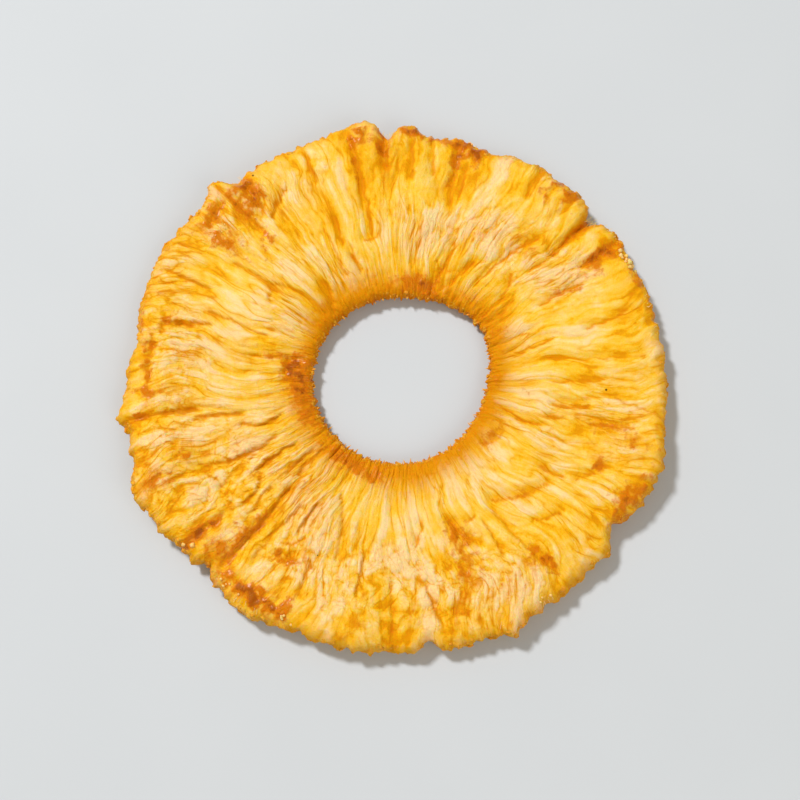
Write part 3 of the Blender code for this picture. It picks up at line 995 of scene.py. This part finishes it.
def flesh_material(group):
    """Golden flesh: cream pads and saffron hollows, partly painted light and shade, an orange band,
    painted shade in the creases and on the edges' walls, and wet amber syrup.
    """
    colours = bpy.context.scene.pineapple_colours
    material, tree, shader = new_material("creased_flesh")
    links = tree.links
    fibre = attribute(tree, "fibre", vector=True)
    labels = ("relief", "crease", "amber", "pale", "band", "side", "tint", "busy", "leathery")
    relief, crease, amber, pale, band, side, tint, busy, leathery = (
        attribute(tree, label) for label in labels
    )

    folds = pad_node(tree, group, fibre, 14.0, 2.6)
    coarse = pad_node(tree, group, fibre, 28.0, 6.0)
    fine = pad_node(tree, group, fibre, 62.0, 13.0)
    coordinates = tree.nodes.new("ShaderNodeTexCoord")
    spot = coordinates.outputs["Object"]
    blotch = noise_node(tree, spot, 170.0, 3.0, 0.55, 0.8)
    mottle = noise_node(tree, spot, 520.0, 2.0, 0.5, 0.6)
    grit = noise_node(tree, spot, 1500.0, 2.0, 0.6)
    grain = noise_node(tree, spot, 4200.0, 1.0, 0.5)
    crinkle = pad_node(tree, group, fibre, 21.0, 10.0)
    crimp = pad_node(tree, group, spot, 760.0, 760.0)

    folds_pads = folds.outputs["Pads"]
    coarse_pads = times(tree, coarse.outputs["Pads"], busy)
    fine_pads = times(tree, fine.outputs["Pads"], busy)
    crinkle_pads = times(tree, crinkle.outputs["Pads"], leathery)
    crimp_pads = times(tree, crimp.outputs["Pads"], leathery)

    # The relief and pad heights shift the tone: deeper in the hollows as painted shade, paler on the
    # tops as painted light; the other terms are the flesh's own random tone.
    tone = weighted(
        tree, -1.035,
        (relief, 0.74), (tint, 0.62), (blotch, 0.22), (mottle, 0.56), (grit, 0.26), (grain, 0.20),
        (folds.outputs["Tone"], 0.50), (coarse.outputs["Tone"], 0.50), (fine.outputs["Tone"], 0.20),
        (folds_pads, 0.29), (coarse_pads, 0.20), (fine_pads, 0.14), (crinkle_pads, 0.24),
        (crimp_pads, 0.15), (crinkle.outputs["Tone"], 0.20), (pale, 0.24),
    )
    ramp = tree.nodes.new("ShaderNodeValToRGB")
    elements = ramp.color_ramp.elements
    elements[0].position = 0.10
    elements[0].color = colours.orange
    elements[1].position = 0.91
    elements[1].color = colours.cream
    for position, colour in (
        (0.22, colours.marigold),
        (0.37, colours.saffron),
        (0.53, colours.gold),
        (0.70, colours.straw),
    ):
        elements.new(position).color = colour
    links.new(tone, ramp.inputs[0])

    band_mask = weighted(tree, 0.20, (mottle, 1.2), (grit, 0.9))
    band_mask = times(tree, band, band_mask, clamp=True)
    colour = mixed(tree, band_mask, ramp.outputs[0], colours.orange)
    # The edges' walls turn orange, then amber, deepest at the hole's edge: painted warm shade, partly
    # the edges' own deeper colour.
    edge_shade_orange = scaled(tree, mottle, 1.6, 0.05)
    edge_shade_orange = times(tree, maths(tree, "POWER", side, 0.55), edge_shade_orange, clamp=True)
    colour = mixed(tree, edge_shade_orange, colour, colours.orange)
    edge_shade_amber = times(tree, side, scaled(tree, band, 0.35, 0.22))
    deep_band = scaled(tree, mottle, 1.2, -0.12)
    deep_band = times(tree, deep_band, maths(tree, "POWER", band, 2.0))
    edge_shade_amber = maths(tree, "ADD", edge_shade_amber, deep_band, clamp=True)
    colour = mixed(tree, edge_shade_amber, colour, colours.amber)

    # Thin lines between pads and the crease mask turn the colour orange, then amber: painted shade in
    # the creases and valleys.
    fine_lines = weighted(tree, 0.0, (coarse.outputs["Lines"], 0.30), (fine.outputs["Lines"], 0.12))
    fine_lines = times(tree, fine_lines, busy)
    soft_lines = weighted(tree, 0.0, (crinkle.outputs["Lines"], 0.24), (crimp.outputs["Lines"], 0.12))
    soft_lines = times(tree, soft_lines, leathery)
    broken = scaled(tree, blotch, 3.0, -1.05, clamp=True)
    fold_lines = times(tree, folds.outputs["Lines"], broken)
    crease_shade = weighted(tree, 0.0, (fold_lines, 0.50), (fine_lines, 1.0), (soft_lines, 1.0))
    crease_shade = scaled(tree, crease, 0.65, crease_shade, clamp=True)
    crease_shade_orange = times(tree, crease_shade, 1.15, clamp=True)
    colour = mixed(tree, crease_shade_orange, colour, colours.orange)
    crease_shade = scaled(tree, crease_shade, 1.4, -0.45, clamp=True)
    colour = mixed(tree, crease_shade, colour, colours.amber)
    glow = scaled(tree, mottle, 0.6, -0.22)
    glow = maths(tree, "ADD", glow, times(tree, amber, 0.9))
    glow = times(tree, glow, amber, clamp=True)
    colour = mixed(tree, glow, colour, colours.orange)
    wet = weighted(tree, -1.62, (amber, 1.0), (band, 0.30), (mottle, 1.1), (grit, 1.4))
    wet = times(tree, wet, 2.0, clamp=True)
    colour = mixed(tree, wet, colour, colours.amber)
    pits = (crimp.outputs["Lines"], 0.35)
    dark = weighted(tree, -1.80, (amber, 1.0), (grit, 0.9), (mottle, 0.4), pits)
    dark = times(tree, dark, 1.6, clamp=True)
    colour = mixed(tree, dark, colour, colours.brown)
    for angle, reach, radius in SPECKS:
        colour = mixed(tree, speck_mask(tree, spot, angle, reach, radius), colour, colours.soot)
    links.new(colour, shader.inputs["Base Color"])

    rough = scaled(tree, mottle, 0.25, 0.40)
    rough = scaled(tree, wet, -0.24, rough)
    links.new(rough, shader.inputs["Roughness"])
    links.new(times(tree, wet, 0.10), shader.inputs["Coat Weight"])
    shader.inputs["Coat Roughness"].default_value = 0.18
    shader.inputs["Specular IOR Level"].default_value = 0.1
    shader.inputs["Specular Tint"].default_value = (1.0, 0.8, 0.35, 1.0)
    sink_light(shader, 0.60, 0.26)

    height = weighted(
        tree, 0.0,
        (folds_pads, 0.06), (coarse_pads, 0.05), (fine_pads, 0.042),
        (crinkle_pads, 0.06), (crimp_pads, 0.05), (mottle, 0.08), (grit, 0.13), (grain, 0.08),
        (times(tree, band, grit), 0.14),
    )
    bump = add_node(tree, "ShaderNodeBump", Strength=1.0, Distance=MM)
    links.new(height, bump.inputs["Height"])
    links.new(bump.outputs[0], shader.inputs["Normal"])
    return material


def crumb_material(name, deep, light, group, shine=0.1):
    """Dry crumbs, teeth and threads: deep at the foot and light at the tip."""
    material, tree, shader = new_material(name)
    coordinates = tree.nodes.new("ShaderNodeTexCoord")
    grain = pad_node(tree, group, coordinates.outputs["Object"], 1400.0, 1400.0)
    share = scaled(tree, grain.outputs["Pads"], 0.35, attribute(tree, "tip"))
    tint = mixed(tree, maths(tree, "SUBTRACT", share, 0.15, clamp=True), deep, light)
    tree.links.new(tint, shader.inputs["Base Color"])
    shader.inputs["Roughness"].default_value = 0.42
    shader.inputs["Specular IOR Level"].default_value = shine
    sink_light(shader, 0.4, 0.4)
    return material


def split_faces(cuts):
    """Splits every edge and face of the active mesh by so many cuts."""
    bpy.ops.object.mode_set(mode="EDIT")
    bpy.ops.mesh.select_all(action="SELECT")
    bpy.ops.mesh.subdivide(number_cuts=cuts)
    bpy.ops.object.mode_set(mode="OBJECT")


def take_part(piece, material):
    """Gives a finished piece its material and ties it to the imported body."""
    piece.data.materials.clear()
    piece.data.materials.append(material)
    piece.data.shade_smooth()
    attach(piece, BODY)


def store_tips(mesh, values):
    """Stores how near each vertex of a template is to its light tip."""
    layer = mesh.attributes.new("tip", "FLOAT", "POINT")
    layer.data.foreach_set("value", np.asarray(values, dtype=np.float32))


def copies_joined(template, matrices, name):
    """Copies a small template to each place, joins the copies and drops the template."""
    bpy.ops.object.select_all(action="DESELECT")
    first = None
    for matrix in matrices:
        mesh = template.data.copy()
        mesh.transform(matrix)
        copy = bpy.data.objects.new(name, mesh)
        bpy.context.collection.objects.link(copy)
        copy.select_set(True)
        first = first or copy
    bpy.data.objects.remove(template)
    bpy.context.view_layer.objects.active = first
    bpy.ops.object.join()
    first.name = name
    return first


def edge_spots(at_rim, least, draw, count):
    """Random vertices of the slice's blunt edge: place and outward direction in millimetres."""
    mesh = bpy.data.objects["creased_slice"].data
    side = np.empty(len(mesh.vertices), dtype=np.float32)
    mesh.attributes["side"].data.foreach_get("value", side)
    spots = []
    for index in np.nonzero(side > least)[0]:
        vertex = mesh.vertices[int(index)]
        if (math.hypot(vertex.co.x, vertex.co.y) > TORUS_RADIUS * MM) == at_rim:
            spots.append((vertex.co / MM, vertex.normal.copy()))
    return draw.sample(spots, count)


def aimed(spot, direction, girth, length, spin):
    """Matrix that sets a template's +Z along a direction, at its real size."""
    aim = direction.to_track_quat("Z", "X").to_matrix().to_4x4()
    turn = Matrix.Rotation(spin, 4, "Z")
    stretch = Matrix.Diagonal((girth, girth, length, 1.0))
    return Matrix.Scale(MM, 4) @ Matrix.Translation(spot) @ aim @ turn @ stretch


def crumb_template(lumps, layer):
    """An irregular crumb one unit in radius."""
    bpy.ops.object.select_all(action="DESELECT")
    bpy.ops.mesh.primitive_ico_sphere_add(subdivisions=2, radius=1.0)
    crumb = bpy.context.object
    for vertex in crumb.data.vertices:
        swell = 1.0 + lumps * noise.noise(vertex.co * 1.9 + Vector((layer, 0.0, 0.0)))
        vertex.co = vertex.co * swell
    store_tips(crumb.data, [0.35 + 0.4 * vertex.co.z for vertex in crumb.data.vertices])
    return crumb


def shared_pads():
    """The pad group, built once."""
    return bpy.data.node_groups.get("plump_pads") or pad_group()


class PINEAPPLE_OT_flesh(bpy.types.Operator):
    """Models the creased slice in place of its plain solid"""

    bl_idname = "pineapple.flesh"
    bl_label = "Flesh"

    def execute(self, context):
        bpy.ops.object.select_all(action="DESELECT")
        bpy.ops.mesh.primitive_torus_add(
            major_segments=STEPS_AROUND // STEP_SPLITS,
            minor_segments=(STEPS_TOP + STEPS_UNDER) // STEP_SPLITS,
            major_radius=TORUS_RADIUS * MM,
            minor_radius=TORUS_TUBE * MM,
        )
        slice_piece = context.object
        slice_piece.name = "creased_slice"
        split_faces(STEP_SPLITS - 1)
        if len(slice_piece.data.vertices) != STEPS_AROUND * (STEPS_TOP + STEPS_UNDER):
            raise RuntimeError("The torus has the wrong number of steps")
        shape_slice(slice_piece.data)
        take_part(slice_piece, flesh_material(shared_pads()))
        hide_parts(NODE)
        return {"FINISHED"}


class PINEAPPLE_OT_teeth(bpy.types.Operator):
    """Models the small torn teeth round the hole"""

    bl_idname = "pineapple.teeth"
    bl_label = "Teeth"

    def execute(self, context):
        sizes = context.scene.pineapple_sizes
        bpy.ops.object.select_all(action="DESELECT")
        bpy.ops.mesh.primitive_cone_add(vertices=7, radius1=0.62, radius2=0.05, depth=1.0)
        tooth = context.object
        split_faces(2)
        for vertex in tooth.data.vertices:
            up = vertex.co.z + 0.5
            vertex.co = Vector((vertex.co.x + 0.22 * up * up, vertex.co.y * 0.6, up))
        store_tips(tooth.data, [vertex.co.z**2 for vertex in tooth.data.vertices])
        draw = random.Random(7)
        matrices = []
        for index in range(sizes.tooth_count):
            angle = (index + draw.uniform(-0.42, 0.42)) * 360.0 / sizes.tooth_count
            length = sizes.tooth_length / MM * draw.uniform(0.4, 1.15) ** 1.5
            x, y = place(angle, 0.008)
            height = 1.45 + draw.uniform(-0.5, 0.9)
            turn = math.radians(angle + draw.uniform(-24.0, 24.0))
            inward = Vector((-math.cos(turn), -math.sin(turn), draw.uniform(0.1, 0.7)))
            foot = Vector((x, y, height)) - 0.3 * inward
            girth = draw.uniform(0.35, 0.75)
            matrices.append(aimed(foot, inward, girth, length + 0.3, draw.uniform(0.0, math.tau)))
        teeth = copies_joined(tooth, matrices, "hole_teeth")
        colours = (0.66, 0.23, 0.006, 1.0), (0.88, 0.46, 0.08, 1.0)
        take_part(teeth, crumb_material("tooth_flesh", *colours, shared_pads()))
        return {"FINISHED"}


class PINEAPPLE_OT_crumbs(bpy.types.Operator):
    """Models the crusty crumbs along the rim and round the hole"""

    bl_idname = "pineapple.crumbs"
    bl_label = "Crumbs"

    def execute(self, context):
        draw = random.Random(11)
        matrices = []
        for at_rim, count, largest in CRUMB_GROUPS:
            for spot, outward in edge_spots(at_rim, CRUMB_EDGE, draw, count):
                size = largest * draw.uniform(0.35, 1.0) ** 1.4
                foot = spot - draw.uniform(0.35, 0.75) * size * outward
                spin = draw.uniform(0.0, math.tau)
                matrices.append(aimed(foot, outward, size * draw.uniform(0.6, 1.4), 0.8 * size, spin))
        crumbs = copies_joined(crumb_template(0.6, 0.0), matrices, "rim_crumbs")
        colours = (0.56, 0.18, 0.005, 1.0), (0.88, 0.42, 0.030, 1.0)
        take_part(crumbs, crumb_material("crumb_crust", *colours, shared_pads()))
        return {"FINISHED"}


class PINEAPPLE_OT_beads(bpy.types.Operator):
    """Models the pale sugary beads caught on the rim"""

    bl_idname = "pineapple.beads"
    bl_label = "Beads"

    def execute(self, context):
        draw = random.Random(5)
        matrices = []
        for middle, reach, spread, count, size in BEAD_CLUSTERS:
            for _ in range(count):
                angle = middle + draw.uniform(-1.0, 1.0) * spread
                radius = size * draw.uniform(0.6, 1.1)
                foot = surface_point(angle, reach + draw.uniform(-0.02, 0.02))
                foot.z += 0.3 * radius
                tilt = Vector((draw.uniform(-0.5, 0.5), draw.uniform(-0.5, 0.5), 1.0))
                matrices.append(aimed(foot, tilt, radius, radius * 0.9, draw.uniform(0.0, math.tau)))
        beads = copies_joined(crumb_template(0.35, 4.0), matrices, "sugar_beads")
        colours = (0.80, 0.40, 0.04, 1.0), (0.95, 0.66, 0.26, 1.0)
        take_part(beads, crumb_material("bead_sugar", *colours, shared_pads(), 0.3))
        return {"FINISHED"}


class PINEAPPLE_OT_hairs(bpy.types.Operator):
    """Models the thin pale fibres in the clefts and at the rim"""

    bl_idname = "pineapple.hairs"
    bl_label = "Hairs"

    def execute(self, context):
        bpy.ops.object.select_all(action="DESELECT")
        bpy.ops.mesh.primitive_cylinder_add(vertices=6, radius=1.0, depth=1.0)
        hair = context.object
        split_faces(4)
        for vertex in hair.data.vertices:
            up = vertex.co.z + 0.5
            taper = 1.0 - 0.6 * up
            bow = 5.0 * up * (1.0 - up)
            vertex.co = Vector((vertex.co.x * taper + bow, vertex.co.y * taper, up))
        store_tips(hair.data, [0.4 + 0.6 * vertex.co.z for vertex in hair.data.vertices])
        draw = random.Random(3)
        matrices = []
        for middle, reach, spread, count, length in HAIR_TUFTS:
            for _ in range(count):
                angle = middle + draw.uniform(-1.0, 1.0) * spread
                turn = math.radians(angle + draw.uniform(-40.0, 40.0))
                lie = Vector((math.cos(turn), math.sin(turn), draw.uniform(-0.5, 0.1)))
                foot = surface_point(angle, reach + draw.uniform(-0.03, 0.0))
                spin = draw.uniform(0.0, math.tau)
                matrices.append(aimed(foot, lie, 0.045, length * draw.uniform(0.6, 1.2), spin))
        hairs = copies_joined(hair, matrices, "cleft_hairs")
        colours = (0.82, 0.46, 0.10, 1.0), (0.93, 0.68, 0.34, 1.0)
        take_part(hairs, crumb_material("hair_fibre", *colours, shared_pads()))
        return {"FINISHED"}


class PINEAPPLE_OT_stage(bpy.types.Operator):
    """Sets the pale floor, the soft lights and the camera"""

    bl_idname = "pineapple.stage"
    bl_label = "Stage"

    def execute(self, context):
        self.add_floor()
        self.add_lights(context)
        self.add_camera(context)
        return {"FINISHED"}

    def add_floor(self):
        """A wide pale cool grey floor under the slice."""
        bpy.ops.object.select_all(action="DESELECT")
        bpy.ops.mesh.primitive_plane_add(size=FLOOR_SIZE, location=(0.0, 0.0, -FLOOR_DROP * MM))
        floor = bpy.context.object
        floor.name = "studio_floor"
        material, tree, shader = new_material("floor_paint")
        coordinates = tree.nodes.new("ShaderNodeTexCoord")
        speckle = noise_node(tree, coordinates.outputs["Object"], 40.0, 2.0, 0.5)
        tint = mixed(tree, speckle, (0.560, 0.605, 0.670, 1.0), (0.585, 0.63, 0.695, 1.0))
        tree.links.new(tint, shader.inputs["Base Color"])
        shader.inputs["Roughness"].default_value = 0.8
        floor.data.materials.append(material)

    def add_lights(self, context):
        """A key from the upper left, a broad fill from the lower right and an even pale room."""
        for name, spot, size, power, colour in LAMPS:
            lamp = bpy.data.lights.new(name, "AREA")
            lamp.size = size
            lamp.energy = power
            lamp.color = colour
            holder = bpy.data.objects.new(name, lamp)
            holder.location = spot
            holder.rotation_euler = (-Vector(spot)).to_track_quat("-Z", "Y").to_euler()
            context.collection.objects.link(holder)
        world = bpy.data.worlds.new("pale_room")
        world.use_nodes = True
        background = world.node_tree.nodes["Background"]
        background.inputs["Color"].default_value = ROOM_COLOUR
        background.inputs["Strength"].default_value = ROOM_STRENGTH
        context.scene.world = world
        context.scene.view_settings.view_transform = "Standard"

    def add_camera(self, context):
        """Close to the photograph's view, from an estimated height above the slice's plane."""
        elevation = math.radians(CAMERA_ELEVATION)
        aim = Vector(CAMERA_AIM) * MM
        back = Vector((0.0, -math.cos(elevation), math.sin(elevation)))
        data = bpy.data.cameras.new("photo_camera")
        data.sensor_width = SENSOR_WIDTH
        data.lens = LENS
        data.shift_x, data.shift_y = CAMERA_SHIFT
        data.clip_start = 0.01
        data.dof.use_dof = False
        camera = bpy.data.objects.new("photo_camera", data)
        camera.location = aim + back * CAMERA_DISTANCE * MM
        camera.rotation_euler = (math.pi / 2.0 - elevation, 0.0, 0.0)
        context.collection.objects.link(camera)
        context.scene.camera = camera


class PINEAPPLE_PT_sidebar(bpy.types.Panel):
    """Lists the pieces, their sizes and their colours"""

    bl_label = "Dried pineapple ring"
    bl_idname = "PINEAPPLE_PT_sidebar"
    bl_space_type = "VIEW_3D"
    bl_region_type = "UI"
    bl_category = "Pineapple"

    def draw(self, context):
        for piece in PIECES:
            self.layout.operator(piece.bl_idname)
        for group in (context.scene.pineapple_sizes, context.scene.pineapple_colours):
            for key in group.__annotations__:
                self.layout.prop(group, key)


PIECES = (
    PINEAPPLE_OT_flesh,
    PINEAPPLE_OT_teeth,
    PINEAPPLE_OT_crumbs,
    PINEAPPLE_OT_beads,
    PINEAPPLE_OT_hairs,
    PINEAPPLE_OT_stage,
)
CLASSES = (SliceSizes, FleshColours, *PIECES, PINEAPPLE_PT_sidebar)


def register():
    """Registers the classes and their settings."""
    for cls in CLASSES:
        bpy.utils.register_class(cls)
    bpy.types.Scene.pineapple_sizes = PointerProperty(type=SliceSizes)
    bpy.types.Scene.pineapple_colours = PointerProperty(type=FleshColours)


def unregister():
    """Removes the settings and the classes."""
    del bpy.types.Scene.pineapple_sizes
    del bpy.types.Scene.pineapple_colours
    for cls in reversed(CLASSES):
        bpy.utils.unregister_class(cls)


def main():
    """Builds every piece in order."""
    register()
    bpy.ops.pineapple.flesh()
    bpy.ops.pineapple.teeth()
    bpy.ops.pineapple.crumbs()
    bpy.ops.pineapple.beads()
    bpy.ops.pineapple.hairs()
    bpy.ops.pineapple.stage()


if __name__ == "__main__":
    main()
